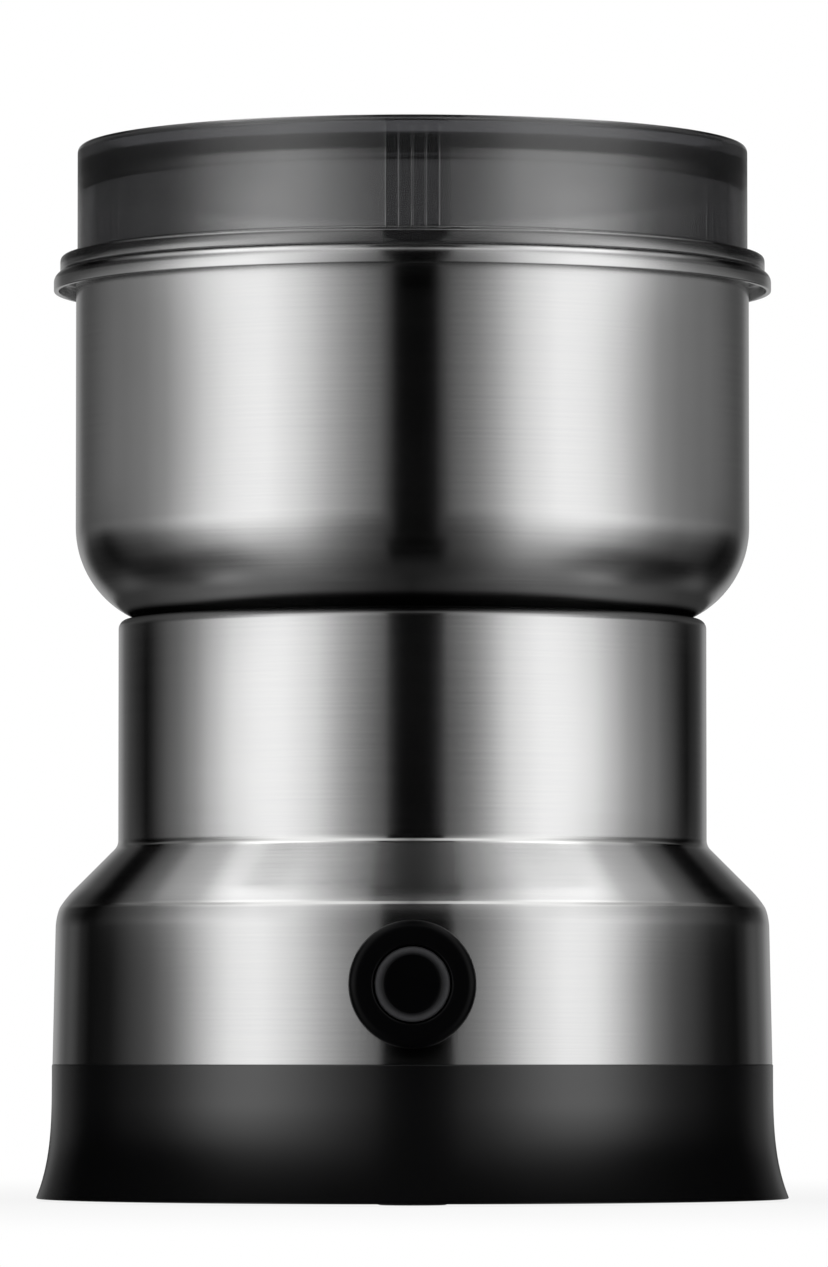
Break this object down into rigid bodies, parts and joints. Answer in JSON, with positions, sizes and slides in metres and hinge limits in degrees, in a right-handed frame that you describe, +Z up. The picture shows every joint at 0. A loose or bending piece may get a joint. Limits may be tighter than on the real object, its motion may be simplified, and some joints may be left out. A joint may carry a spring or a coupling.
{
  "type": "electric coffee grinder",
  "caption": "Electric coffee grinder: steel bowl with a spinning blade under a clear lift-off lid, on a waisted steel motor casing with a front push button and a flared base.",
  "frame": {"origin": "on the table, under the middle of the grinder, at the bottom of the feet", "axes": "+Z up along the motor's axis, the button faces -Y, the cord inlet faces +Y"},
  "size_m": [0.118, 0.118, 0.1655],
  "materials": {
    "smoke_plastic": "clear smoke tint",
    "brushed_stainless": "fine brushed, round the axis",
    "black_abs": "fine satin moulding",
    "gloss_black": "polished moulding",
    "nylon_black": "moulded",
    "black_rubber": "matt",
    "zinc_steel": "zinc plated",
    "die_cast": "as cast",
    "lamination_steel": "varnished stack",
    "copper_wire": "enamelled copper",
    "brass": "bright",
    "sintered_bronze": "oiled",
    "carbon": "pressed carbon",
    "spring_steel": "bright"
  },
  "bodies": {
    "housing": {"grinding_bowl": "brushed_stainless", "body_shell": "brushed_stainless", "base": "black_abs", "button_bezel": "gloss_black", "motor_chassis": "nylon_black", "switch_back": "nylon_black", "switch_washer": "nylon_black", "brush_insulators": "nylon_black", "rubber_feet": "black_rubber", "cord_grommet": "black_rubber", "motor_dampers": "black_rubber", "shaft_seal": "black_rubber", "bowl_studs": "zinc_steel", "bowl_nuts": "zinc_steel", "base_screws": "zinc_steel", "motor_screws": "zinc_steel", "motor_bolts": "zinc_steel", "bolt_nuts": "zinc_steel", "switch_nut": "zinc_steel", "upper_bracket": "die_cast", "lower_bracket": "die_cast", "stator_core": "lamination_steel", "field_coil_left": "copper_wire", "field_coil_right": "copper_wire", "brush_holders": "brass", "switch_terminals": "brass", "upper_bearing": "sintered_bronze", "lower_bearing": "sintered_bronze", "carbon_brushes": "carbon", "brush_springs": "spring_steel", "button_spring": "spring_steel"},
    "rotor": {"armature_shaft": "zinc_steel", "armature_core": "lamination_steel", "armature_winding": "copper_wire", "commutator": "copper_wire", "thrust_washers": "sintered_bronze", "cooling_fan": "nylon_black", "fan_clip": "spring_steel", "blade_bush": "nylon_black", "blade": "brushed_stainless", "blade_washer": "zinc_steel", "blade_nut": "zinc_steel"},
    "button": {"button_cap": "gloss_black", "contact_bridge": "brass"},
    "lid": {"lid": "smoke_plastic"}
  },
  "joints": [
    {"name": "rotor_spin", "type": "hinge", "parent": "housing", "child": "rotor", "pos_m": [0, 0, 0.0895], "axis": [0, 0, 1], "continuous": true},
    {"name": "button_press", "type": "slide", "parent": "housing", "child": "button", "axis": [0, 1, 0], "range_m": [0, 0.003], "stiffness_N_per_m": 400, "springref_m": -0.002, "deforming": ["button_spring"]},
    {"name": "lid_lift", "type": "slide", "parent": "housing", "child": "lid", "axis": [0, 0, 1], "range_m": [0, 0.06]}
  ]
}
